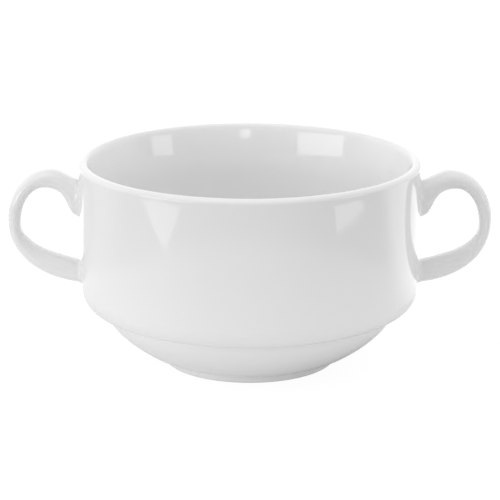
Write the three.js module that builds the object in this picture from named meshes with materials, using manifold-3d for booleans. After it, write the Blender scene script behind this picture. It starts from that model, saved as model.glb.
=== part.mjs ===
// White porcelain soup bowl that stacks on its own ledge, with two ear handles joined on with slip.
// Millimetres, standing on z = 0 with +Z up and the handles along X.
import * as THREE from 'three';
import { mergeVertices } from 'three/addons/utils/BufferGeometryUtils.js';
import Module from 'manifold-3d';

// Outside of the bowl. The draft is how far the wall leans in on each side from the rim to the shoulder.
const RIM_DIAMETER = 105;
const BOWL_HEIGHT = 63.6;
const WALL_DRAFT = 0.57;

// Stacking ledge: the rounded shoulder between the wall and the neck that drops into the bowl below.
const LEDGE_HEIGHT = 18;
const SHOULDER_RISE = 6.4;
const SHOULDER_REACH = 7;
const CREASE_ROUND = 0.9;

// Belly between the neck and the foot. The pulls are how far each end runs on before the belly curves.
const NECK_LEAN_DEG = 6;
const NECK_PULL = 6.8;
const BELLY_PULL = 4.4;

// Foot ring and the shallow recess inside it.
const FOOT_DIAMETER = 53.4;
const FOOT_HEIGHT = 2.3;
const FOOT_WIDTH = 3.6;
const FOOT_EDGE_ROUND = 0.6;
const RECESS_DEPTH = 1.9;
const RECESS_ROUND = 1;

// Rim and inside of the bowl. The wall is thin at the rim and full from the flare's end down.
const RIM_THICKNESS = 3.4;
const RIM_CROWN = 1.9;
const RIM_FLARE_DROP = 17.6;
const WALL_THICKNESS = 5.4;
const CREASE_THICKNESS = 3.6;
const BASE_THICKNESS = 5;
const INNER_BEND_RISE = 9;
const INNER_FLOOR_DIAMETER = 26;

// Handles, measured from the rim down and from the wall out.
const HANDLE_TOP_DROP = 3.5;
const HANDLE_TOP_OUT = 9.4;
const HANDLE_SIDE_DROP = 18.7;
const HANDLE_REACH = 22.2;
const HANDLE_TOP_THICKNESS = 5.55;
const HANDLE_SIDE_THICKNESS = 4.1;
const FINGER_TOP_OUT = 10.8;
const FINGER_SIDE_DROP = 20.5;
const HANDLE_WIDTH = 9;

// Roots, where the handles meet the wall. The lift is from the top of the shoulder.
const UPPER_ROOT_DROP = 7.2;
const UPPER_ROOT_HEIGHT = 10.5;
const LOWER_ROOT_LIFT = 0.2;
const LOWER_ROOT_HEIGHT = 6.2;
const ROOT_WIDTH = 11.5;

// The handles are set by hand, so each one is turned a little in its own plane.
const LEFT_TURN_DEG = 2.5;
const RIGHT_TURN_DEG = -1.2;

// Slip that joins a handle to the wall, and the gap that separate solids keep.
const SLIP_THICKNESS = 1.3;
const SLIP_SIDE_FLARE = 1.3;
const SLIP_END_FLARE = 0.5;
const GAP = 0.3;

// Shape of the curves: fullness is a share of a curve's span, rise is a slope, power squares off an oval.
const SHOULDER_FULLNESS = [0.66, 0.68];
const FLARE_FULLNESS = [0.05, 0.45];
const INNER_BEND_FULLNESS = [0.36, 0.3];
const INNER_BOWL_FULLNESS = [0.36, 0.4];
const BEHIND_CREASE_DEG = 40;
const OUTER_LINE_FULLNESS = [0.4, 0.38, 0.51, 0.57, 0.68, 0.46];
const INNER_LINE_FULLNESS = [0.56, 0.78, 0.49, 0.61, 0.69, 0.38];
const OUTER_LINE_RISE = [0.36, 0.07];
const INNER_LINE_RISE = [0, 0.36];
const SECTION_POWER = 2.4;

// Facets, and how much of a handle's end curve the slip follows.
const BOWL_FACETS = 72;
const SECTION_FACETS = 20;
const HANDLE_STEPS = 11;
const SLIP_STEPS = 6;
const SLIP_SHARE = 0.3;

const wasm = await Module();
wasm.setup();

const point = (x, y) => new THREE.Vector2(x, y);
const radians = THREE.MathUtils.degToRad;

// Heights and radii that follow from the sizes above.
const rimRadius = RIM_DIAMETER / 2;
const shoulderTop = LEDGE_HEIGHT + SHOULDER_RISE;
const wallFootRadius = rimRadius - WALL_DRAFT;
const neckRadius = wallFootRadius - SHOULDER_REACH;
const footRadius = FOOT_DIAMETER / 2;
const rimSpring = BOWL_HEIGHT - RIM_CROWN;
const floorHeight = RECESS_DEPTH + BASE_THICKNESS;

// Radius of the outer wall at a height between the shoulder and the rim.
const wallRadius = (z) => {
  const share = (z - shoulderTop) / (rimSpring - shoulderTop);
  return wallFootRadius + WALL_DRAFT * THREE.MathUtils.clamp(share, 0, 1);
};

// Points along a curve, without its first one, so that curves can follow each other.
const along = (curve, steps) => curve.getPoints(steps).slice(1);

// The quarter round of the shoulder, from the ledge out and up to the straight wall.
const ledgeStart = point(neckRadius + CREASE_ROUND, LEDGE_HEIGHT);
const shoulderEnd = point(wallFootRadius, shoulderTop);
const shoulder = new THREE.CubicBezierCurve(
  ledgeStart,
  point(neckRadius + SHOULDER_FULLNESS[0] * SHOULDER_REACH, LEDGE_HEIGHT),
  point(wallFootRadius, shoulderTop - SHOULDER_FULLNESS[1] * SHOULDER_RISE),
  shoulderEnd,
);

// Outer and inner outline of the bowl, from the middle of its underside to the middle of its floor.
const bowlOutline = () => {
  const footInner = footRadius - FOOT_WIDTH;
  const neckWay = point(Math.sin(radians(NECK_LEAN_DEG)), Math.cos(radians(NECK_LEAN_DEG)));
  const crease = point(neckRadius, LEDGE_HEIGHT);
  const neckTop = crease.clone().addScaledVector(neckWay, -CREASE_ROUND);
  const bellyStart = point(footRadius, FOOT_HEIGHT);
  const recess = new THREE.QuadraticBezierCurve(
    point(footInner - RECESS_ROUND, RECESS_DEPTH),
    point(footInner, RECESS_DEPTH),
    point(footInner, RECESS_DEPTH - RECESS_ROUND),
  );
  const footInside = new THREE.QuadraticBezierCurve(
    point(footInner, FOOT_EDGE_ROUND),
    point(footInner, 0),
    point(footInner + FOOT_EDGE_ROUND, 0),
  );
  const footOutside = new THREE.QuadraticBezierCurve(
    point(footRadius - FOOT_EDGE_ROUND, 0),
    point(footRadius, 0),
    point(footRadius, FOOT_EDGE_ROUND),
  );
  const belly = new THREE.CubicBezierCurve(
    bellyStart,
    point(footRadius + BELLY_PULL, FOOT_HEIGHT),
    crease.clone().addScaledVector(neckWay, -NECK_PULL),
    neckTop,
  );
  const creaseRound = new THREE.QuadraticBezierCurve(neckTop, crease, ledgeStart);
  const rim = new THREE.EllipseCurve(
    rimRadius - RIM_THICKNESS / 2,
    rimSpring,
    RIM_THICKNESS / 2,
    RIM_CROWN,
    0,
    Math.PI,
  );

  // The inside of the wall swells from the thin rim to the full wall.
  const flareEnd = BOWL_HEIGHT - RIM_FLARE_DROP;
  const fullWall = point(wallRadius(flareEnd) - WALL_THICKNESS, flareEnd);
  const flareSpan = rimSpring - flareEnd;
  const rimFlare = new THREE.CubicBezierCurve(
    point(rimRadius - RIM_THICKNESS, rimSpring),
    point(rimRadius - RIM_THICKNESS, rimSpring - FLARE_FULLNESS[0] * flareSpan),
    point(fullWall.x, flareEnd + FLARE_FULLNESS[1] * flareSpan),
    fullWall,
  );

  // It then turns to a point behind the crease, and from there to the floor.
  const bendStart = point(wallFootRadius - WALL_THICKNESS, shoulderTop + INNER_BEND_RISE);
  const behindTurn = radians(BEHIND_CREASE_DEG);
  const behindWay = point(-Math.cos(behindTurn), Math.sin(behindTurn));
  const behind = crease.clone().addScaledVector(behindWay, CREASE_THICKNESS);
  const downWay = point(-behindWay.y, behindWay.x);
  const floorEdge = point(INNER_FLOOR_DIAMETER / 2, floorHeight);
  const bendSpan = bendStart.distanceTo(behind);
  const bowlSpan = behind.distanceTo(floorEdge);
  const innerBend = new THREE.CubicBezierCurve(
    bendStart,
    point(bendStart.x, bendStart.y - INNER_BEND_FULLNESS[0] * bendSpan),
    behind.clone().addScaledVector(downWay, -INNER_BEND_FULLNESS[1] * bendSpan),
    behind,
  );
  const innerBowl = new THREE.CubicBezierCurve(
    behind,
    behind.clone().addScaledVector(downWay, INNER_BOWL_FULLNESS[0] * bowlSpan),
    point(floorEdge.x + INNER_BOWL_FULLNESS[1] * bowlSpan, floorHeight),
    floorEdge,
  );

  return [
    point(0, RECESS_DEPTH),
    ...recess.getPoints(2),
    ...footInside.getPoints(2),
    ...footOutside.getPoints(2),
    bellyStart,
    ...along(belly, 8),
    ...along(creaseRound, 2),
    ...along(shoulder, 6),
    ...rim.getPoints(8),
    ...along(rimFlare, 5),
    bendStart,
    ...along(innerBend, 5),
    ...along(innerBowl, 7),
    point(0, floorHeight),
  ];
};

// A turned shape about Z from an outline of radius and height.
const turned = (outline) => new THREE.LatheGeometry(outline, BOWL_FACETS).rotateX(Math.PI / 2);

// A solid for cutting, from a closed geometry.
const solidOf = (geometry) => {
  const bare = geometry.clone();
  bare.deleteAttribute('normal');
  bare.deleteAttribute('uv');
  const merged = mergeVertices(bare, 1e-5);
  const corners = merged.index.array;
  const triangles = [];
  for (let i = 0; i < corners.length; i += 3) {
    const [a, b, c] = corners.slice(i, i + 3);
    if (a !== b && b !== c && c !== a) {
      triangles.push(a, b, c);
    }
  }
  return new wasm.Manifold(new wasm.Mesh({
    numProp: 3,
    vertProperties: new Float32Array(merged.attributes.position.array),
    triVerts: new Uint32Array(triangles),
  }));
};

// The geometry of a cut solid.
const geometryOf = (solid) => {
  const mesh = solid.getMesh();
  const geometry = new THREE.BufferGeometry();
  geometry.setAttribute('position', new THREE.BufferAttribute(new Float32Array(mesh.vertProperties), 3));
  geometry.setIndex(new THREE.BufferAttribute(new Uint32Array(mesh.triVerts), 1));
  geometry.computeVertexNormals();
  return geometry;
};

// The bowl's outside from the ledge to above the rim, as a plug grown outwards by a distance.
const wallPlug = (grown) => {
  const top = BOWL_HEIGHT + RIM_CROWN;
  const side = [...shoulder.getPoints(6), point(rimRadius, rimSpring), point(rimRadius, top)];
  return solidOf(turned([
    point(0, LEDGE_HEIGHT),
    ...side.map((p) => point(p.x + grown, p.y)),
    point(0, top),
  ]));
};

// One side line of a handle: from the upper root over the top, round the outermost point, to the lower root.
const sideLine = ({ upper, top, side, lower, fullness, rise }) => {
  const rootSpan = top.x - upper.x;
  const archOut = side.x - top.x;
  const archDown = top.y - side.y;
  const armDown = side.y - lower.y;
  const armIn = side.x - lower.x;
  return [
    new THREE.CubicBezierCurve(
      upper,
      point(upper.x + fullness[0] * rootSpan, upper.y + fullness[0] * rootSpan * rise[0]),
      point(top.x - fullness[1] * rootSpan, top.y),
      top,
    ),
    new THREE.CubicBezierCurve(
      top,
      point(top.x + fullness[2] * archOut, top.y),
      point(side.x, side.y + fullness[3] * archDown),
      side,
    ),
    new THREE.CubicBezierCurve(
      side,
      point(side.x, side.y - fullness[4] * armDown),
      point(lower.x + fullness[5] * armIn, lower.y + fullness[5] * armIn * rise[1]),
      lower,
    ),
  ];
};

const upperRootTop = BOWL_HEIGHT - UPPER_ROOT_DROP;
const upperRootFoot = upperRootTop - UPPER_ROOT_HEIGHT;
const lowerRootFoot = shoulderTop + LOWER_ROOT_LIFT;
const lowerRootTop = lowerRootFoot + LOWER_ROOT_HEIGHT;
const atWall = (z) => point(wallRadius(z), z);
const outerLine = sideLine({
  upper: atWall(upperRootTop),
  top: point(rimRadius + HANDLE_TOP_OUT, BOWL_HEIGHT - HANDLE_TOP_DROP),
  side: point(rimRadius + HANDLE_REACH, BOWL_HEIGHT - HANDLE_SIDE_DROP),
  lower: atWall(lowerRootFoot),
  fullness: OUTER_LINE_FULLNESS,
  rise: OUTER_LINE_RISE,
});
const innerLine = sideLine({
  upper: atWall(upperRootFoot),
  top: point(rimRadius + FINGER_TOP_OUT, BOWL_HEIGHT - HANDLE_TOP_DROP - HANDLE_TOP_THICKNESS),
  side: point(rimRadius + HANDLE_REACH - HANDLE_SIDE_THICKNESS, BOWL_HEIGHT - FINGER_SIDE_DROP),
  lower: atWall(lowerRootTop),
  fullness: INNER_LINE_FULLNESS,
  rise: INNER_LINE_RISE,
});

// Where a handle turns about, halfway between its roots on the wall.
const turnCentre = atWall((upperRootTop + lowerRootFoot) / 2);

// A cross-section of the handle: its outer and inner point in the side plane, and its width across.
const station = (part, t, turnDeg) => {
  const turn = radians(turnDeg);
  const outer = outerLine[part].getPoint(t).rotateAround(turnCentre, turn);
  const inner = innerLine[part].getPoint(t).rotateAround(turnCentre, turn);
  const nearRoot = [1 - t, 0, t][part];
  const width = HANDLE_WIDTH + (ROOT_WIDTH - HANDLE_WIDTH) * nearRoot ** 2;
  return { outer, inner, width };
};

// The same cross-section pushed back towards the bowl's axis.
const pushedIn = (s, distance) => ({
  outer: point(s.outer.x - distance, s.outer.y),
  inner: point(s.inner.x - distance, s.inner.y),
  width: s.width,
});

// The same cross-section made larger, at its ends in the side plane and at its sides across.
const widened = (s, ends, sides) => {
  const out = s.outer.clone().sub(s.inner).normalize();
  return {
    outer: s.outer.clone().addScaledVector(out, ends),
    inner: s.inner.clone().addScaledVector(out, -ends),
    width: s.width + 2 * sides,
  };
};

// A closed solid through a row of cross-sections, each a flattened oval.
const loft = (stations) => {
  const power = (v) => Math.sign(v) * Math.abs(v) ** (2 / SECTION_POWER);
  const positions = [];
  for (const { outer, inner, width } of stations) {
    const middle = outer.clone().add(inner).multiplyScalar(0.5);
    const half = outer.clone().sub(inner).multiplyScalar(0.5);
    for (let k = 0; k < SECTION_FACETS; k += 1) {
      const angle = (2 * Math.PI * k) / SECTION_FACETS;
      const across = power(Math.cos(angle));
      positions.push(
        middle.x + half.x * across,
        (width / 2) * power(Math.sin(angle)),
        middle.y + half.y * across,
      );
    }
  }
  const indices = [];
  for (let i = 0; i + 1 < stations.length; i += 1) {
    for (let k = 0; k < SECTION_FACETS; k += 1) {
      const next = (k + 1) % SECTION_FACETS;
      const a = i * SECTION_FACETS + k;
      const b = i * SECTION_FACETS + next;
      const c = a + SECTION_FACETS;
      const d = b + SECTION_FACETS;
      indices.push(a, c, b, b, c, d);
    }
  }
  const last = (stations.length - 1) * SECTION_FACETS;
  for (let k = 1; k + 1 < SECTION_FACETS; k += 1) {
    indices.push(0, k, k + 1);
    indices.push(last, last + k + 1, last + k);
  }
  const geometry = new THREE.BufferGeometry();
  geometry.setAttribute('position', new THREE.BufferAttribute(new Float32Array(positions), 3));
  geometry.setIndex(indices);
  return geometry;
};

// A handle stops short of the wall by the slip and the gaps on both of its sides.
const slipOutside = GAP + SLIP_THICKNESS;
const rootDepth = RIM_THICKNESS;
const handleGeometry = (turnDeg) => {
  const stations = [pushedIn(station(0, 0, turnDeg), rootDepth)];
  for (const part of [0, 1, 2]) {
    for (let i = 0; i < HANDLE_STEPS; i += 1) {
      stations.push(station(part, i / HANDLE_STEPS, turnDeg));
    }
  }
  stations.push(station(2, 1, turnDeg));
  stations.push(pushedIn(station(2, 1, turnDeg), rootDepth));
  return geometryOf(solidOf(loft(stations)).subtract(wallPlug(slipOutside + GAP)));
};

// The slip follows the handle's root and spreads towards the wall as a small hollow fillet.
const slipGeometry = (part, turnDeg) => {
  const stations = [];
  for (let i = 0; i <= SLIP_STEPS; i += 1) {
    const t = (SLIP_SHARE * i) / SLIP_STEPS;
    const s = station(part, part === 0 ? t : 1 - t, turnDeg);
    const middle = s.outer.clone().add(s.inner).multiplyScalar(0.5);
    const off = (middle.x - wallRadius(middle.y) - GAP) / SLIP_THICKNESS;
    const spread = (1 - THREE.MathUtils.clamp(off, 0, 1)) ** 2;
    stations.push(widened(s, spread * SLIP_END_FLARE, spread * SLIP_SIDE_FLARE));
  }
  stations.unshift(pushedIn(stations[0], rootDepth));
  if (part === 2) {
    stations.reverse();
  }
  const layer = wallPlug(slipOutside).subtract(wallPlug(GAP));
  return geometryOf(solidOf(loft(stations)).intersect(layer));
};

const glaze = (color, roughness) => new THREE.MeshStandardMaterial({ color, roughness, metalness: 0 });

const piece = (name, geometry, material) => {
  const mesh = new THREE.Mesh(geometry, material);
  mesh.name = name;
  return mesh;
};

// One handle with its two slip joints, built on the +X side and swung round to its place.
const handleSet = (side, turnDeg, swing) => {
  const group = new THREE.Group();
  group.add(piece(`handle_${side}`, handleGeometry(turnDeg), glaze(0xf0efeb, 0.14)));
  group.add(piece(`slip_joint_${side}_upper`, slipGeometry(0, turnDeg), glaze(0xeeeee9, 0.16)));
  group.add(piece(`slip_joint_${side}_lower`, slipGeometry(2, turnDeg), glaze(0xeeeee9, 0.16)));
  group.rotation.z = swing;
  return group;
};

const soupBowl = new THREE.Group();
soupBowl.add(piece('bowl_body', turned(bowlOutline()), glaze(0xf1f0ec, 0.13)));
soupBowl.add(handleSet('right', RIGHT_TURN_DEG, 0));
soupBowl.add(handleSet('left', LEFT_TURN_DEG, Math.PI));

export default soupBowl;
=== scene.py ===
"""Looks of a white porcelain soup bowl with two ear handles: fine meshes, glaze, studio light and camera."""
import math

import bpy
import numpy as np
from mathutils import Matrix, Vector


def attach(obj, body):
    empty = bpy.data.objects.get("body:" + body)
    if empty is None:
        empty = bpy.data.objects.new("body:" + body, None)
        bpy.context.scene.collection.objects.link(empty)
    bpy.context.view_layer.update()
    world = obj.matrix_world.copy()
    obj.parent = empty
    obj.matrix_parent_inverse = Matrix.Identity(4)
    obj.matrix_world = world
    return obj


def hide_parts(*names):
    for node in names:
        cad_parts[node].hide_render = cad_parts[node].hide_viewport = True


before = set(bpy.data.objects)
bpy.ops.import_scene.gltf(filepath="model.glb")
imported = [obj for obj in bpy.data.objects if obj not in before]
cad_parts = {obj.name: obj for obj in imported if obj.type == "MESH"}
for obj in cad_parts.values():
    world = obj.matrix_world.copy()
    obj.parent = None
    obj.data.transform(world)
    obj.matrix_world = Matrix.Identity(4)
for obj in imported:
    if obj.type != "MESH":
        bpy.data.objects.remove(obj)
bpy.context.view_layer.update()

MM = 0.001

# Sizes in millimetres and degrees. Most are those of the part's source, and the rest refine its look.

# Bowl
RIM_DIAMETER = 105
BOWL_HEIGHT = 63.6
WALL_DRAFT = 0.57
LEDGE_HEIGHT = 18
SHOULDER_RISE = 6.4
SHOULDER_REACH = 7
CREASE_ROUND = 1.5
NECK_LEAN_DEG = 6
NECK_PULL = 6.8
BELLY_PULL = 4.4
FOOT_DIAMETER = 53.4
FOOT_HEIGHT = 2.3
FOOT_WIDTH = 3.6
FOOT_EDGE_ROUND = 0.6
FOOT_SLANT = 0.3
FOOT_FILLET = 0.9
RECESS_DEPTH = 1.9
RECESS_ROUND = 1
RIM_CROWN = 1.5
RIM_FLARE_DROP = 17.6
CREST_IN = 1.85
LIP_DROP = 2.5
LIP_THICKNESS = 3.5
LIP_LEAN_DEG = 14
WALL_THICKNESS = 5.4
CREASE_THICKNESS = 3.6
BEHIND_CREASE_DEG = 40
BASE_THICKNESS = 5
INNER_BEND_RISE = 9
INNER_FLOOR_DIAMETER = 26

# Handles
HANDLE_TOP_DROP = 3.6
HANDLE_TOP_OUT = 9.2
HANDLE_SIDE_DROP = 18.8
HANDLE_REACH = 22.07
HANDLE_TOP_THICKNESS = 5.75
HANDLE_SIDE_THICKNESS = 4.1
FINGER_TOP_OUT = 10.95
FINGER_SIDE_DROP = 20.55
HANDLE_WIDTH = 9
UPPER_ROOT_DROP = 7.2
UPPER_ROOT_HEIGHT = 10.9
LOWER_ROOT_LIFT = 0.2
LOWER_ROOT_HEIGHT = 6.2
ROOT_WIDTH = 11.5
LEFT_TURN_DEG = 1.3
RIGHT_TURN_DEG = -0.8

# Slip: how far its hollow fillet reaches off the wall, goes into the wall, and spreads on the wall.
# The pairs are for the outer and the inner side of the handle.
SLIP_REACH = 1.7
SLIP_SUNK = 0.8
SLIP_SIDE_FLARE = 1.3
UPPER_SLIP_FLARE = (0.5, -0.5)
LOWER_SLIP_FLARE = (0.5, 2.3)

# Shares that place the inner control points of curves, and how steeply a handle's lines leave the wall.
SHOULDER_FULLNESS = (0.66, 0.68)
LIP_FULLNESS = (0.9, 0.6)
FLARE_FULLNESS = (0.36, 0.42)
INNER_BEND_FULLNESS = (0.36, 0.3)
INNER_BOWL_FULLNESS = (0.36, 0.4)
SLIP_FULLNESS = (0.5, 0.4)
OUTER_LINE_FULLNESS = (0.4, 0.365, 0.506, 0.57, 0.68, 0.46)
INNER_LINE_FULLNESS = (0.48, 0.8, 0.467, 0.61, 0.69, 0.38)
OUTER_LINE_RISE = (0.36, 0.07)
INNER_LINE_RISE = (0, 0.36)

# Shape of the handle's section: 2 is an oval, and more is squarer.
SECTION_POWER = 2.2

# Small unevenness of the turned body: waves round the axis as (count, millimetres, phase),
# and the heights and radii over which they grow to their full size.
WALL_WAVES = ((2, 0.06, 0.7), (3, 0.035, -1.1), (5, 0.015, 2.0))
RIM_WAVES = ((2, 0.05, 1.9), (3, 0.04, 0.3), (7, 0.01, 1.0))
WAVES_GROW_UP = (4, 30)
WAVES_GROW_OUT = (6, 40)
RIM_WAVES_GROW_UP = (30, 60)

# Fineness of the meshes: points round a ring, and steps along each stretch.
BOWL_AROUND = 256
SECTION_AROUND = 64
HANDLE_STEPS = 36
SLIP_STEPS = 10
ROUND_STEPS = 8
RECESS_STEPS = 12
RING_INSIDE_STEPS = 2
RING_STAND_STEPS = 6
RING_FACE_STEPS = 4
BELLY_STEPS = 36
CREASE_STEPS = 10
SHOULDER_STEPS = 24
WALL_STEPS = 20
CROWN_STEPS = 14
LIP_STEPS = 18
FLARE_STEPS = 28
INNER_WALL_STEPS = 6
INNER_BEND_STEPS = 20
INNER_BOWL_STEPS = 28
INNER_FLOOR_STEPS = 8

# Searches for where handle, slip and wall meet: the share of a curve that is searched, and their rounds.
SEARCH_END = 0.9
SEARCH_HALVINGS = 40
WALL_APPROACHES = 12

# Small steps that give the direction of a handle's line and the slope of the wall.
CURVE_STEP = 1e-3
SLOPE_STEP = 0.05

# Keeps the normals in the middle of a tube's ends from being zero.
NOT_ZERO = 1e-6

rim_radius = RIM_DIAMETER / 2
shoulder_top = LEDGE_HEIGHT + SHOULDER_RISE
wall_foot_radius = rim_radius - WALL_DRAFT
neck_radius = wall_foot_radius - SHOULDER_REACH
foot_radius = FOOT_DIAMETER / 2
rim_spring = BOWL_HEIGHT - RIM_CROWN
floor_height = RECESS_DEPTH + BASE_THICKNESS


def point(x, y):
    return np.array((x, y), float)


def leaning(degrees):
    """A step of length 1 that leans outwards from straight up."""
    lean = math.radians(degrees)
    return point(math.sin(lean), math.cos(lean))


def bezier_at(points, t):
    """A Bezier curve at t. Its points may be single points or rows of them."""
    n = len(points) - 1
    return sum(math.comb(n, i) * (1 - t) ** (n - i) * t**i * points[i] for i in range(n + 1))


def bezier(points, steps):
    """Points along a Bezier curve, both ends included."""
    return bezier_at(points, np.linspace(0, 1, steps + 1)[:, None])


def line(a, b, steps):
    return bezier((a, b), steps)


def smooth(low, high, value):
    """0 below low, 1 above high, and an eased step between them."""
    t = np.clip((np.asarray(value, float) - low) / (high - low), 0, 1)
    return t * t * (3 - 2 * t)


def new_piece(name, verts, faces, normals=None):
    """A smooth mesh object from points in millimetres."""
    mesh = bpy.data.meshes.new(name)
    mesh.from_pydata([tuple(MM * c for c in v) for v in verts], [], faces)
    mesh.polygons.foreach_set("use_smooth", [True] * len(mesh.polygons))
    mesh.update()
    if normals is not None:
        mesh.normals_split_custom_set_from_vertices([tuple(n) for n in normals])
    piece = bpy.data.objects.new(name, mesh)
    bpy.context.scene.collection.objects.link(piece)
    return piece


def ring_faces(start, count, around, centres):
    """Faces of a closed skin over rings of points, with a fan from a centre point at each end."""
    end = start + (count - 1) * around
    faces = []
    for k in range(around):
        n = (k + 1) % around
        faces.append((centres[0], start + n, start + k))
        for a in range(start, end, around):
            b = a + around
            faces.append((a + k, a + n, b + n, b + k))
        faces.append((centres[1], end + k, end + n))
    return faces


# Bowl

crease = point(neck_radius, LEDGE_HEIGHT)
ledge_start = point(neck_radius + CREASE_ROUND, LEDGE_HEIGHT)
shoulder = bezier(
    (
        ledge_start,
        point(neck_radius + SHOULDER_FULLNESS[0] * SHOULDER_REACH, LEDGE_HEIGHT),
        point(wall_foot_radius, shoulder_top - SHOULDER_FULLNESS[1] * SHOULDER_RISE),
        point(wall_foot_radius, shoulder_top),
    ),
    SHOULDER_STEPS,
)
ring_corner = point(foot_radius - FOOT_SLANT, FOOT_HEIGHT)
belly_start = ring_corner + point(FOOT_FILLET, 0)
crest = point(rim_radius - CREST_IN, BOWL_HEIGHT)


def plain_wall_radius(z):
    """Radius of the outer wall at a height above the ledge, without unevenness."""
    z = np.asarray(z, float)
    share = np.clip((z - shoulder_top) / (rim_spring - shoulder_top), 0, 1)
    wall = wall_foot_radius + WALL_DRAFT * share
    return np.where(z < shoulder_top, np.interp(z, shoulder[:, 1], shoulder[:, 0]), wall)


def waves(angle, table):
    return sum(size * np.cos(count * angle + phase) for count, size, phase in table)


def uneven(angle, r, z):
    """Radius and height of a ring of the turned body with its small unevenness.

    The foot stands true, and the rim's waves only dip, so the bowl keeps within the part's height.
    """
    grown = smooth(*WAVES_GROW_UP, z) * smooth(*WAVES_GROW_OUT, r)
    dip = waves(angle, RIM_WAVES) - sum(size for _, size, _ in RIM_WAVES)
    return r + grown * waves(angle, WALL_WAVES), z + grown * smooth(*RIM_WAVES_GROW_UP, z) * dip


def foot_runs():
    """The recess of the underside and the foot ring, out to where the belly starts."""
    inner = foot_radius - FOOT_WIDTH
    recess_edge = point(inner - RECESS_ROUND, RECESS_DEPTH)
    recess_foot = point(inner, RECESS_DEPTH - RECESS_ROUND)
    inner_edge = point(inner, FOOT_EDGE_ROUND)
    stand_in = point(inner + FOOT_EDGE_ROUND, 0)
    stand_out = point(foot_radius - FOOT_EDGE_ROUND, 0)
    outer_edge = point(foot_radius, FOOT_EDGE_ROUND)
    face = outer_edge - ring_corner
    face_top = ring_corner + FOOT_FILLET * face / np.linalg.norm(face)
    return [
        line(point(0, RECESS_DEPTH), recess_edge, RECESS_STEPS),
        bezier((recess_edge, point(inner, RECESS_DEPTH), recess_foot), ROUND_STEPS),
        line(recess_foot, inner_edge, RING_INSIDE_STEPS),
        bezier((inner_edge, point(inner, 0), stand_in), ROUND_STEPS),
        line(stand_in, stand_out, RING_STAND_STEPS),
        bezier((stand_out, point(foot_radius, 0), outer_edge), ROUND_STEPS),
        line(outer_edge, face_top, RING_FACE_STEPS),
        bezier((face_top, ring_corner, belly_start), ROUND_STEPS),
    ]


def outside_runs():
    """Belly, crease, shoulder, wall and the outer half of the rim."""
    neck_way = leaning(NECK_LEAN_DEG)
    neck_top = crease - CREASE_ROUND * neck_way
    belly_pull = point(foot_radius + BELLY_PULL, FOOT_HEIGHT)
    turn = np.linspace(0, math.pi / 2, CROWN_STEPS + 1)
    crown = np.stack((crest[0] + CREST_IN * np.cos(turn), rim_spring + RIM_CROWN * np.sin(turn)), axis=1)
    return [
        bezier((belly_start, belly_pull, crease - NECK_PULL * neck_way, neck_top), BELLY_STEPS),
        bezier((neck_top, crease, ledge_start), CREASE_STEPS),
        shoulder,
        line(shoulder[-1], point(rim_radius, rim_spring), WALL_STEPS),
        crown,
    ]


def inside_runs():
    """The rim's inner lip, its flare, the inner wall, the bend behind the crease and the floor."""
    lip_way = leaning(LIP_LEAN_DEG)
    lip_end = point(rim_radius - LIP_THICKNESS, BOWL_HEIGHT - LIP_DROP)
    lip_corner = lip_end + LIP_DROP / lip_way[1] * lip_way
    flare_end = BOWL_HEIGHT - RIM_FLARE_DROP
    full_wall = point(plain_wall_radius(flare_end) - WALL_THICKNESS, flare_end)
    flare_span = np.linalg.norm(lip_end - full_wall)
    bend_start = point(wall_foot_radius - WALL_THICKNESS, shoulder_top + INNER_BEND_RISE)
    turn = math.radians(BEHIND_CREASE_DEG)
    behind_way = point(-math.cos(turn), math.sin(turn))
    behind = crease + CREASE_THICKNESS * behind_way
    down_way = point(-behind_way[1], behind_way[0])
    floor_edge = point(INNER_FLOOR_DIAMETER / 2, floor_height)
    bend_span = np.linalg.norm(behind - bend_start)
    bowl_span = np.linalg.norm(floor_edge - behind)
    lip = (
        crest,
        crest + LIP_FULLNESS[0] * (lip_corner - crest),
        lip_end + LIP_FULLNESS[1] * (lip_corner - lip_end),
        lip_end,
    )
    flare = (
        lip_end,
        lip_end - FLARE_FULLNESS[0] * flare_span * lip_way,
        point(full_wall[0], flare_end + FLARE_FULLNESS[1] * flare_span),
        full_wall,
    )
    bend = (
        bend_start,
        point(bend_start[0], bend_start[1] - INNER_BEND_FULLNESS[0] * bend_span),
        behind - INNER_BEND_FULLNESS[1] * bend_span * down_way,
        behind,
    )
    hollow = (
        behind,
        behind + INNER_BOWL_FULLNESS[0] * bowl_span * down_way,
        point(floor_edge[0] + INNER_BOWL_FULLNESS[1] * bowl_span, floor_height),
        floor_edge,
    )
    return [
        bezier(lip, LIP_STEPS),
        bezier(flare, FLARE_STEPS),
        line(full_wall, bend_start, INNER_WALL_STEPS),
        bezier(bend, INNER_BEND_STEPS),
        bezier(hollow, INNER_BOWL_STEPS),
        line(floor_edge, point(0, floor_height), INNER_FLOOR_STEPS),
    ]


def bowl_outline():
    """Radius and height from the middle of the underside, over the rim, to the middle of the floor."""
    runs = foot_runs() + outside_runs() + inside_runs()
    return np.concatenate([runs[0]] + [run[1:] for run in runs[1:]])


def turned_bowl():
    outline = bowl_outline()
    angle = np.linspace(0, 2 * math.pi, BOWL_AROUND, endpoint=False)
    verts = [(0, 0, outline[0, 1])]
    for r, z in outline[1:-1]:
        ring_r, ring_z = uneven(angle, r, z)
        verts.extend(zip(ring_r * np.cos(angle), ring_r * np.sin(angle), ring_z))
    verts.append((0, 0, outline[-1, 1]))
    faces = ring_faces(1, len(outline) - 2, BOWL_AROUND, (0, len(verts) - 1))
    return new_piece("bowl", verts, faces)


# Handles

def at_wall(z):
    return point(plain_wall_radius(z), z)


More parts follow.
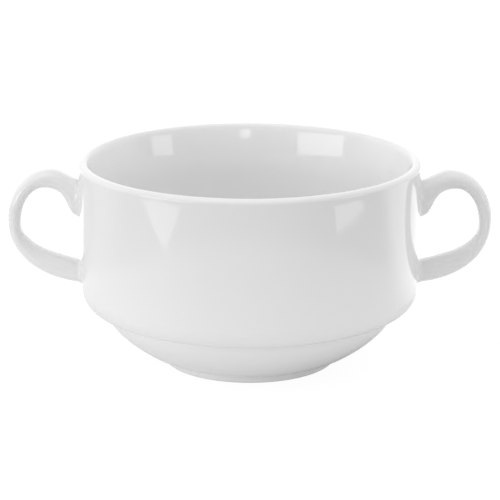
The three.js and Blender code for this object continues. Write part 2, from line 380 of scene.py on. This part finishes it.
def side_line(upper, top, side, lower, fullness, rise):
    """The three curves of a handle's side line: upper root to top, top to side, and side to lower root."""
    root_span = top[0] - upper[0]
    arch_out = side[0] - top[0]
    arch_down = top[1] - side[1]
    arm_down = side[1] - lower[1]
    arm_in = side[0] - lower[0]
    return (
        (
            upper,
            upper + fullness[0] * root_span * point(1, rise[0]),
            point(top[0] - fullness[1] * root_span, top[1]),
            top,
        ),
        (
            top,
            point(top[0] + fullness[2] * arch_out, top[1]),
            point(side[0], side[1] + fullness[3] * arch_down),
            side,
        ),
        (
            side,
            point(side[0], side[1] - fullness[4] * arm_down),
            lower + fullness[5] * arm_in * point(1, rise[1]),
            lower,
        ),
    )


# Places of a side line's three curves.
UPPER, ARCH, LOWER = range(3)

upper_root_top = BOWL_HEIGHT - UPPER_ROOT_DROP
upper_root_foot = upper_root_top - UPPER_ROOT_HEIGHT
lower_root_foot = shoulder_top + LOWER_ROOT_LIFT
lower_root_top = lower_root_foot + LOWER_ROOT_HEIGHT
outer_line = side_line(
    at_wall(upper_root_top),
    point(rim_radius + HANDLE_TOP_OUT, BOWL_HEIGHT - HANDLE_TOP_DROP),
    point(rim_radius + HANDLE_REACH, BOWL_HEIGHT - HANDLE_SIDE_DROP),
    at_wall(lower_root_foot),
    OUTER_LINE_FULLNESS,
    OUTER_LINE_RISE,
)
inner_line = side_line(
    at_wall(upper_root_foot),
    point(rim_radius + FINGER_TOP_OUT, BOWL_HEIGHT - HANDLE_TOP_DROP - HANDLE_TOP_THICKNESS),
    point(rim_radius + HANDLE_REACH - HANDLE_SIDE_THICKNESS, BOWL_HEIGHT - FINGER_SIDE_DROP),
    at_wall(lower_root_top),
    INNER_LINE_FULLNESS,
    INNER_LINE_RISE,
)
turn_centre = at_wall((upper_root_top + lower_root_foot) / 2)


def squared_off(v):
    return np.sign(v) * np.abs(v) ** (2 / SECTION_POWER)


section_angle = np.linspace(0, 2 * math.pi, SECTION_AROUND, endpoint=False)
section_across = squared_off(np.cos(section_angle))
section_side = squared_off(np.sin(section_angle))


def turned_about(p, turn):
    c, s = math.cos(turn), math.sin(turn)
    x, y = (p - turn_centre).T
    return turn_centre + np.stack((c * x - s * y, s * x + c * y), axis=1)


def handle_points(part, t, turn):
    """One point of the handle's surface for each line round its section, at that line's own value t."""
    t = np.broadcast_to(np.asarray(t, float), section_angle.shape)
    outer = turned_about(bezier_at(outer_line[part], t[:, None]), turn)
    inner = turned_about(bezier_at(inner_line[part], t[:, None]), turn)
    near_root = (1 - t, 0 * t, t)[part]
    width = HANDLE_WIDTH + (ROOT_WIDTH - HANDLE_WIDTH) * near_root**2
    flat = (outer + inner) / 2 + (outer - inner) / 2 * section_across[:, None]
    return np.stack((flat[:, 0], width / 2 * section_side, flat[:, 1]), axis=1)


def clearance(p):
    """How far points stand off the wall."""
    return np.hypot(p[:, 0], p[:, 1]) - plain_wall_radius(p[:, 2])


def leave_slip(part, turn):
    """The value t at which each line of the handle is as far from the wall as the slip reaches."""
    near = np.zeros(SECTION_AROUND)
    far = np.full(SECTION_AROUND, SEARCH_END)
    for _ in range(SEARCH_HALVINGS):
        middle = (near + far) / 2
        t = middle if part == UPPER else 1 - middle
        inside = clearance(handle_points(part, t, turn)) < SLIP_REACH
        near = np.where(inside, middle, near)
        far = np.where(inside, far, middle)
    return near if part == UPPER else 1 - near


def onto_wall(p):
    """Points moved onto the wall, keeping their place across it."""
    r = plain_wall_radius(p[:, 2])
    angle = np.arcsin(np.clip(p[:, 1] / r, -1, 1))
    return np.stack((r * np.cos(angle), r * np.sin(angle), p[:, 2]), axis=1)


def slip_rings(part, turn):
    """Rings of the slip's fillet, from the handle down to the wall."""
    if part == UPPER:
        root, step, flares = 0, CURVE_STEP, UPPER_SLIP_FLARE
    else:
        root, step, flares = 1, -CURVE_STEP, LOWER_SLIP_FLARE
    t = leave_slip(part, turn)
    start = handle_points(part, t, turn)
    way = start - handle_points(part, t + step, turn)
    way /= np.linalg.norm(way, axis=1)[:, None]
    reach = np.full(SECTION_AROUND, SLIP_REACH)
    for _ in range(WALL_APPROACHES):
        reach = reach + clearance(start + reach[:, None] * way)
    corner = start + reach[:, None] * way
    across = handle_points(part, root, turn)
    outer_way = across[0] - across[SECTION_AROUND // 2]
    outer_way /= np.linalg.norm(outer_way)
    flare = np.where(section_across > 0, *flares) * section_across
    spread = flare[:, None] * outer_way
    spread = spread + SLIP_SIDE_FLARE * section_side[:, None] * np.array((0, 1, 0))
    end = onto_wall(corner + spread)
    leave = start + SLIP_FULLNESS[0] * (corner - start)
    arrive = end + SLIP_FULLNESS[1] * (corner - end)
    return [bezier_at((start, leave, arrive, end), s) for s in np.linspace(0, 1, SLIP_STEPS + 1)]


def handle_rings(turn):
    """Rings of the handle from one slip to the other."""
    first = leave_slip(UPPER, turn)
    last = leave_slip(LOWER, turn)
    share = np.linspace(0, 1, HANDLE_STEPS + 1)
    rings = [handle_points(UPPER, first + (1 - first) * s, turn) for s in share[:-1]]
    rings += [handle_points(ARCH, s, turn) for s in share[:-1]]
    rings += [handle_points(LOWER, last * s, turn) for s in share]
    return rings


def ring_normals(rings):
    """Smooth normals of a tube given by its rings."""
    grid = np.array(rings)
    along = np.gradient(grid, axis=0)
    around = np.roll(grid, -1, axis=1) - np.roll(grid, 1, axis=1)
    normals = np.cross(around, along)
    normals /= np.linalg.norm(normals, axis=2)[:, :, None]
    outward = grid - grid.mean(axis=1, keepdims=True)
    if np.sum(normals * outward) < 0:
        normals = -normals
    return normals


def wall_normals(ring):
    """Normals of the wall at the points of a ring that lies on it."""
    z = ring[:, 2]
    slope = (plain_wall_radius(z + SLOPE_STEP) - plain_wall_radius(z - SLOPE_STEP)) / (2 * SLOPE_STEP)
    r = np.hypot(ring[:, 0], ring[:, 1])
    n = np.stack((ring[:, 0] / r, ring[:, 1] / r, -slope), axis=1)
    return n / np.linalg.norm(n, axis=1)[:, None]


def faces_inwards(verts, faces):
    """Whether the volume inside closed faces comes out negative."""
    volume = 0.0
    for face in faces:
        for j in range(1, len(face) - 1):
            volume += np.dot(verts[face[0]], np.cross(verts[face[j]], verts[face[j + 1]]))
    return volume < 0


def with_end_middles(rows):
    """Rows of a tube's points or normals, with the means of its first and last ring added."""
    ends = (rows[:SECTION_AROUND].mean(axis=0), rows[-SECTION_AROUND:].mean(axis=0))
    return np.concatenate((rows, ends))


def tube(name, rings, normals, swing):
    """A closed tube through rings, with capped ends, swung round the bowl's axis."""
    c, s = math.cos(swing), math.sin(swing)
    spin = np.array(((c, -s, 0), (s, c, 0), (0, 0, 1)))
    verts = with_end_middles(np.concatenate(rings) @ spin.T)
    swung_normals = with_end_middles(np.concatenate(normals) @ spin.T)
    swung_normals[-2:] += NOT_ZERO
    faces = ring_faces(0, len(rings), SECTION_AROUND, (len(verts) - 2, len(verts) - 1))
    if faces_inwards(verts, faces):
        faces = [face[::-1] for face in faces]
    return new_piece(name, verts, faces, swung_normals)


def sunk(ring):
    """A ring moved into the wall."""
    r = np.hypot(ring[:, 0], ring[:, 1])
    shrink = ((r - SLIP_SUNK) / r)[:, None]
    return np.concatenate((ring[:, :2] * shrink, ring[:, 2:]), axis=1)


def handle_set(side, turn_deg, swing):
    """A handle and its two slips, cut from one smooth surface so that they meet without a step in shading."""
    turn = math.radians(turn_deg)
    upper = slip_rings(UPPER, turn)[::-1]
    middle = handle_rings(turn)
    lower = slip_rings(LOWER, turn)
    rings = upper + middle[1:-1] + lower
    normals = ring_normals(rings)
    normals[0] = wall_normals(rings[0])
    normals[-1] = wall_normals(rings[-1])
    a, b = SLIP_STEPS, len(rings) - 1 - SLIP_STEPS
    slip_up = tube(
        f"slip_{side}_upper",
        [sunk(rings[0])] + rings[: a + 1],
        np.concatenate((normals[:1], normals[: a + 1])),
        swing,
    )
    handle = tube(f"handle_ear_{side}", rings[a : b + 1], normals[a : b + 1], swing)
    slip_low = tube(
        f"slip_{side}_lower",
        rings[b:] + [sunk(rings[-1])],
        np.concatenate((normals[b:], normals[-1:])),
        swing,
    )
    return handle, slip_up, slip_low


# Nodes

WHITE = (1, 1, 1, 1)
NONE_TO_FULL = (0, 1)
FULL_TO_NONE = (1, 0)


def feed(tree, socket, value):
    """Links an output to a socket, or sets the socket to a plain value."""
    if isinstance(value, bpy.types.NodeSocket):
        tree.links.new(value, socket)
    else:
        socket.default_value = value


def node(tree, kind, **inputs):
    made = tree.nodes.new(kind)
    for name, value in inputs.items():
        feed(tree, made.inputs[name], value)
    return made


def coordinates(tree, kind):
    return tree.nodes.new("ShaderNodeTexCoord").outputs[kind]


def parts_of(tree, vector):
    return node(tree, "ShaderNodeSeparateXYZ", Vector=vector).outputs


def noise(tree, place, scale, detail):
    return node(tree, "ShaderNodeTexNoise", Vector=place, Scale=scale, Detail=detail).outputs["Fac"]


def span(tree, value, given, wanted):
    """Maps a value from one range to another, held at both ends."""
    made = node(tree, "ShaderNodeMapRange", Value=value)
    made.clamp = True
    for name, number in zip(("From Min", "From Max", "To Min", "To Max"), (*given, *wanted)):
        made.inputs[name].default_value = number
    return made.outputs["Result"]


def math_node(tree, kind, *values):
    made = tree.nodes.new("ShaderNodeMath")
    made.operation = kind
    for socket, value in zip(made.inputs, values):
        feed(tree, socket, value)
    return made.outputs["Value"]


def product(tree, a, b):
    return math_node(tree, "MULTIPLY", a, b)


def distance_to(tree, place, centre):
    made = tree.nodes.new("ShaderNodeVectorMath")
    made.operation = "DISTANCE"
    feed(tree, made.inputs[0], place)
    feed(tree, made.inputs[1], centre)
    return made.outputs["Value"]


def ramp(tree, value, given, colours):
    """Maps a value from a range to the colours between two others."""
    made = node(tree, "ShaderNodeValToRGB", Fac=value)
    for element, position, colour in zip(made.color_ramp.elements, given, colours):
        element.position = position
        element.color = (*colour, 1)
    return made.outputs["Color"]


def tinted(tree, factor, colour, tint):
    """A colour that goes over to a plain tint as the factor goes to 1."""
    made = tree.nodes.new("ShaderNodeMix")
    made.data_type = "RGBA"
    sockets = {socket.name: socket for socket in made.inputs if socket.enabled}
    feed(tree, sockets["Factor"], factor)
    feed(tree, sockets["A"], colour)
    feed(tree, sockets["B"], (*tint, 1))
    return [socket for socket in made.outputs if socket.enabled][0]


def mix_shaders(tree, factor, first, second):
    """The first shader where the factor is 0, and the second where it is 1."""
    made = node(tree, "ShaderNodeMixShader", Fac=factor)
    feed(tree, made.inputs[1], first.outputs[0])
    feed(tree, made.inputs[2], second.outputs[0])
    return made


# Glaze

GLAZE_IOR = 1.5
GLAZE_THIN = (0.856, 0.855, 0.853)
GLAZE_THICK = (0.838, 0.84, 0.84)
GLAZE_POOL = (0.845, 0.846, 0.845)
BISCUIT = (0.72, 0.70, 0.655)
GLAZE_ROUGHNESS = (0.045, 0.085)

# Noises as (scale, detail), and the middle range of their values that is used.
CLOUD_NOISE = (28, 3)
GLOSS_NOISE = (70, 4)
RIPPLE_NOISE = (110, 2)
PEEL_NOISE = (900, 2)
NOISE_RANGE = (0.3, 0.7)
PEEL_SHARE = 0.05
BOWL_BUMP = 0.15
HANDLE_BUMP = 0.05
BUMP_DISTANCE = 0.06 * MM

# Heights from the ledge, in millimetres, over which pooled glaze begins in the crease and ends above it.
POOL_BEGINS = (-1.6, 0)
POOL_ENDS = (0.1, 1.2)

# The standing ring, which is wiped bare up to a height that wanders.
BARE_HEIGHT = (0.12 * MM, 0.22 * MM)
BARE_WANDER = 0.3 * MM
BARE_ROUGHER = 0.6
BARE_EDGE_NOISE = (400, 2)
BARE_GRAIN_NOISE = (6000, 2)
BARE_GRAIN_SHARE = 0.3


def pooled(tree, z, colour):
    """The glaze's colour with the pool in the crease."""
    begins, ends = ([(LEDGE_HEIGHT + h) * MM for h in heights] for heights in (POOL_BEGINS, POOL_ENDS))
    pool = product(tree, span(tree, z, begins, NONE_TO_FULL), span(tree, z, ends, FULL_TO_NONE))
    return tinted(tree, pool, colour, GLAZE_POOL)


def bare_ring(tree, place, z):
    """1 on the bare standing ring and 0 on the glaze."""
    wander = product(tree, noise(tree, place, *BARE_EDGE_NOISE), BARE_WANDER)
    return span(tree, math_node(tree, "SUBTRACT", z, wander), BARE_HEIGHT, FULL_TO_NONE)


def glaze(name, bowl):
    """White glaze over porcelain, with soft cloudiness, uneven gloss and faint ripple.

    On the bowl it also pools in the crease, and leaves the standing ring bare.
    """
    material = bpy.data.materials.new(name)
    material.use_nodes = True
    tree = material.node_tree
    place = coordinates(tree, "Object")
    colour = ramp(tree, noise(tree, place, *CLOUD_NOISE), NOISE_RANGE, (GLAZE_THICK, GLAZE_THIN))
    gloss = span(tree, noise(tree, place, *GLOSS_NOISE), NOISE_RANGE, GLAZE_ROUGHNESS)
    peel = product(tree, noise(tree, place, *PEEL_NOISE), PEEL_SHARE)
    height = math_node(tree, "ADD", noise(tree, place, *RIPPLE_NOISE), peel)
    if bowl:
        z = parts_of(tree, place)["Z"]
        bare = bare_ring(tree, place, z)
        colour = tinted(tree, bare, pooled(tree, z, colour), BISCUIT)
        gloss = math_node(tree, "ADD", gloss, product(tree, bare, BARE_ROUGHER))
        grain = product(tree, noise(tree, place, *BARE_GRAIN_NOISE), bare)
        height = math_node(tree, "ADD", height, product(tree, grain, BARE_GRAIN_SHARE))
    strength = BOWL_BUMP if bowl else HANDLE_BUMP
    bump = node(tree, "ShaderNodeBump", Strength=strength, Distance=BUMP_DISTANCE, Height=height)
    shader = tree.nodes["Principled BSDF"]
    feed(tree, shader.inputs["IOR"], GLAZE_IOR)
    feed(tree, shader.inputs["Base Color"], colour)
    feed(tree, shader.inputs["Roughness"], gloss)
    feed(tree, shader.inputs["Normal"], bump.outputs["Normal"])
    return material


def finish_piece(piece, material, replaced):
    piece.data.materials.append(material)
    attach(piece, "root")
    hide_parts(replaced)


bowl_glaze = glaze("bowl_glaze", True)
handle_glaze = glaze("handle_glaze", False)
slip_glaze = glaze("slip_glaze", False)
finish_piece(turned_bowl(), bowl_glaze, "bowl_body")
for side, turn_deg, swing in (("right", RIGHT_TURN_DEG, 0), ("left", LEFT_TURN_DEG, math.pi)):
    handle, slip_up, slip_low = handle_set(side, turn_deg, swing)
    finish_piece(handle, handle_glaze, f"handle_{side}")
    finish_piece(slip_up, slip_glaze, f"slip_joint_{side}_upper")
    finish_piece(slip_low, slip_glaze, f"slip_joint_{side}_lower")


# Camera, at the photograph's angle. Places and distances are in metres from here on.

CAMERA_TARGET = Vector((0, 0, 0.03))
CAMERA_ELEVATION_DEG = 16.002
CAMERA_DISTANCE = 0.65
CAMERA_SENSOR_MM = 36
CAMERA_LENS_MM = 150.73
CAMERA_SHIFT = (0.0005, 0.02702)


def add_camera():
    data = bpy.data.cameras.new("camera")
    data.sensor_width = CAMERA_SENSOR_MM
    data.lens = CAMERA_LENS_MM
    data.shift_x, data.shift_y = CAMERA_SHIFT
    camera = bpy.data.objects.new("camera", data)
    up = math.radians(CAMERA_ELEVATION_DEG)
    camera.location = CAMERA_TARGET + CAMERA_DISTANCE * Vector((0, -math.cos(up), math.sin(up)))
    camera.rotation_euler = (math.pi / 2 - up, 0, 0)
    bpy.context.scene.collection.objects.link(camera)
    bpy.context.scene.camera = camera


add_camera()


# Lamps

LAMP_AIM = Vector((0, 0, 0.035))
CARD_HEIGHT = 0.0005


def area_light(name, size, brightness, place, turn):
    """A rectangular light that the camera doesn't see. Its power grows with its brightness and its area."""
    data = bpy.data.lights.new(name, "AREA")
    data.shape = "RECTANGLE"
    data.size, data.size_y = size
    data.energy = brightness * math.pi * size[0] * size[1]
    made = bpy.data.objects.new(name, data)
    made.location = place
    made.rotation_euler = turn
    made.visible_camera = False
    bpy.context.scene.collection.objects.link(made)


def softbox(name, azimuth, elevation, distance, size, brightness):
    """A lamp aimed at the object. Azimuth is in degrees from the camera's side, to the camera's right."""
    a, e = math.radians(azimuth), math.radians(elevation)
    way = Vector((math.sin(a) * math.cos(e), -math.cos(a) * math.cos(e), math.sin(e)))
    area_light(name, size, brightness, LAMP_AIM + distance * way, way.to_track_quat("Z", "Y").to_euler())


def table_card(name, place, turn, size, brightness):
    """A small lit card that lies beside the object, facing up, and shows as a soft patch in its wall."""
    area_light(name, size, brightness, (*place, CARD_HEIGHT), (math.pi, 0, math.radians(turn)))


softbox("key_left", azimuth=-56, elevation=9, distance=1.6, size=(1.08, 0.56), brightness=2.85)
softbox("fill_right", azimuth=69.5, elevation=8, distance=1.6, size=(0.49, 0.5), brightness=2.3)
softbox("left_high", azimuth=-60, elevation=58, distance=1.6, size=(0.8, 0.8), brightness=0.68)
softbox("overhead", azimuth=0, elevation=85, distance=1.5, size=(1.0, 1.0), brightness=0.64)
softbox("front_small", azimuth=3, elevation=19.2, distance=1.6, size=(0.2, 0.17), brightness=3.5)
table_card("low_left", place=(-0.2167, -0.1489), turn=-16.4, size=(0.11, 0.08), brightness=1.8)
table_card("low_right", place=(0.223, -0.118), turn=45.5, size=(0.09, 0.045), brightness=1.8)


# World. Its pairs are ranges of a direction's parts: X to the right, Y away from the camera's side, Z up.

AMBIENT_FRONT = 0.58
AMBIENT_BEHIND = 1.19
FRONT_TO_BEHIND = (-1, 1)
ROOM_TONE = 0.35
BACKDROP_SIDES = (-0.1, 0.2)
BACKDROP_TOP = (0.45, 0.75)
CORE_GLOW = 0.15
CORE_EDGE = (0.2, 0.4)


def add_world():
    """White to the camera, and a soft light that is stronger from behind the object than from the front.

    Reflections show a white backdrop in a darker room, a little brighter straight behind the object.
    """
    world = bpy.data.worlds.new("studio")
    bpy.context.scene.world = world
    world.use_nodes = True
    tree = world.node_tree
    tree.nodes.clear()
    way = parts_of(tree, coordinates(tree, "Generated"))
    path = tree.nodes.new("ShaderNodeLightPath").outputs
    ambient = span(tree, way["Y"], FRONT_TO_BEHIND, (AMBIENT_FRONT, AMBIENT_BEHIND))
    between_sides = span(tree, way["Y"], BACKDROP_SIDES, NONE_TO_FULL)
    below_top = span(tree, way["Z"], BACKDROP_TOP, FULL_TO_NONE)
    backdrop = product(tree, between_sides, below_top)
    aside = math_node(tree, "ABSOLUTE", way["X"])
    core = product(tree, backdrop, span(tree, aside, CORE_EDGE, (CORE_GLOW, 0)))
    reflected = math_node(tree, "ADD", span(tree, backdrop, NONE_TO_FULL, (ROOM_TONE, 1)), core)
    shown = math_node(tree, "MAXIMUM", reflected, path["Is Camera Ray"])
    seen = math_node(tree, "MAXIMUM", path["Is Camera Ray"], path["Is Glossy Ray"])
    seen = math_node(tree, "MAXIMUM", seen, path["Is Transmission Ray"])
    lighting = node(tree, "ShaderNodeBackground", Color=WHITE, Strength=ambient)
    picture = node(tree, "ShaderNodeBackground", Color=WHITE, Strength=shown)
    surface = mix_shaders(tree, seen, lighting, picture)
    node(tree, "ShaderNodeOutputWorld", Surface=surface.outputs[0])


add_world()


# Floor. Edges are given as the two distances or places between which one tone goes over to the other.

FLOOR_HALF = 3
FLOOR_DROP = 0.00005
FLOOR_GLOW = 1.05
FLOOR_SHADOW = 0.12
PAPER_WHITE = (0.95, 0.95, 0.95, 1)
TABLE_TONE = 0.2
BOARD_TONE = 0.5
BOARD_GLOW = 0.34
BOARD_CENTRE = (0, -0.051, 0)
BOARD_EDGE = (0.158, 0.182)
# SHADE is a painted shadow of the object: the board's glow is dimmed round this place at the right of the
# foot.
SHADE_CENTRE = (0.028, -0.012, 0)
SHADE_EDGE = (0.014, 0.042)
SHADE_DEPTH = 0.5
BEHIND_EDGE = (-0.04, 0.04)
BEHIND_GLOW = 1.6
OBJECT_MIDDLE = (0, 0, 0)
OBJECT_EDGE = (0.08, 0.13)
WEDGE_EDGE = (-0.01, 0.03)
WEDGE_OUTSIDE = 0.25


def camera_floor(tree):
    """What the camera sees: white, with a faint shadow of the object."""
    glow = node(tree, "ShaderNodeEmission", Color=WHITE, Strength=FLOOR_GLOW)
    matte = node(tree, "ShaderNodeBsdfDiffuse", Color=PAPER_WHITE)
    return mix_shaders(tree, FLOOR_SHADOW, glow, matte)


def lit_board(tree, place, behind):
    """A pale round board under the object and a pale floor behind it, on a darker table.

    The board glows faintly, and less so at the right of the foot, where a painted shadow of the object dims
    its glow.
    """
    on_board = span(tree, distance_to(tree, place, BOARD_CENTRE), BOARD_EDGE, FULL_TO_NONE)
    pale = math_node(tree, "MAXIMUM", on_board, behind)
    tone = span(tree, pale, NONE_TO_FULL, (TABLE_TONE, BOARD_TONE))
    bounce = node(tree, "ShaderNodeBsdfDiffuse", Color=tone)
    # Painted shadow: the glow is dimmed round SHADE_CENTRE.
    unshaded = span(tree, distance_to(tree, place, SHADE_CENTRE), SHADE_EDGE, (SHADE_DEPTH, 1))
    strength = span(tree, product(tree, on_board, unshaded), NONE_TO_FULL, (0, BOARD_GLOW))
    glow = node(tree, "ShaderNodeEmission", Color=WHITE, Strength=strength)
    board = tree.nodes.new("ShaderNodeAddShader")
    feed(tree, board.inputs[0], bounce.outputs[0])
    feed(tree, board.inputs[1], glow.outputs[0])
    return board


def bright_behind(tree, place, parts, behind):
    """How bright the floor behind the object is in reflections: fully in a wedge, and less so left of it."""
    wedge = math_node(tree, "ADD", parts["Y"], math_node(tree, "MINIMUM", parts["X"], 0))
    in_wedge = span(tree, wedge, WEDGE_EDGE, (WEDGE_OUTSIDE, 1))
    clear_of_object = span(tree, distance_to(tree, place, OBJECT_MIDDLE), OBJECT_EDGE, NONE_TO_FULL)
    return product(tree, product(tree, in_wedge, clear_of_object), behind)


def paper():
    """The floor's material. It can't be seen from below, so that the underside can be looked at."""
    material = bpy.data.materials.new("paper")
    material.use_nodes = True
    tree = material.node_tree
    tree.nodes.clear()
    place = coordinates(tree, "Object")
    parts = parts_of(tree, place)
    path = tree.nodes.new("ShaderNodeLightPath").outputs
    behind = span(tree, parts["Y"], BEHIND_EDGE, NONE_TO_FULL)
    mirrored = node(tree, "ShaderNodeEmission", Color=WHITE, Strength=BEHIND_GLOW)
    reflected = math_node(tree, "MAXIMUM", path["Is Glossy Ray"], path["Is Transmission Ray"])
    bright = product(tree, reflected, bright_behind(tree, place, parts, behind))
    unseen = mix_shaders(tree, bright, lit_board(tree, place, behind), mirrored)
    above = mix_shaders(tree, path["Is Camera Ray"], unseen, camera_floor(tree))
    below = tree.nodes.new("ShaderNodeBsdfTransparent")
    from_below = tree.nodes.new("ShaderNodeNewGeometry").outputs["Backfacing"]
    surface = mix_shaders(tree, from_below, above, below)
    node(tree, "ShaderNodeOutputMaterial", Surface=surface.outputs[0])
    return material


def add_floor():
    mesh = bpy.data.meshes.new("floor")
    corners = [(x * FLOOR_HALF, y * FLOOR_HALF, 0) for x, y in ((-1, -1), (1, -1), (1, 1), (-1, 1))]
    mesh.from_pydata(corners, [], [(0, 1, 2, 3)])
    mesh.materials.append(paper())
    floor = bpy.data.objects.new("floor", mesh)
    floor.location.z = -FLOOR_DROP
    bpy.context.scene.collection.objects.link(floor)


add_floor()

bpy.context.scene.view_settings.view_transform = "Standard"
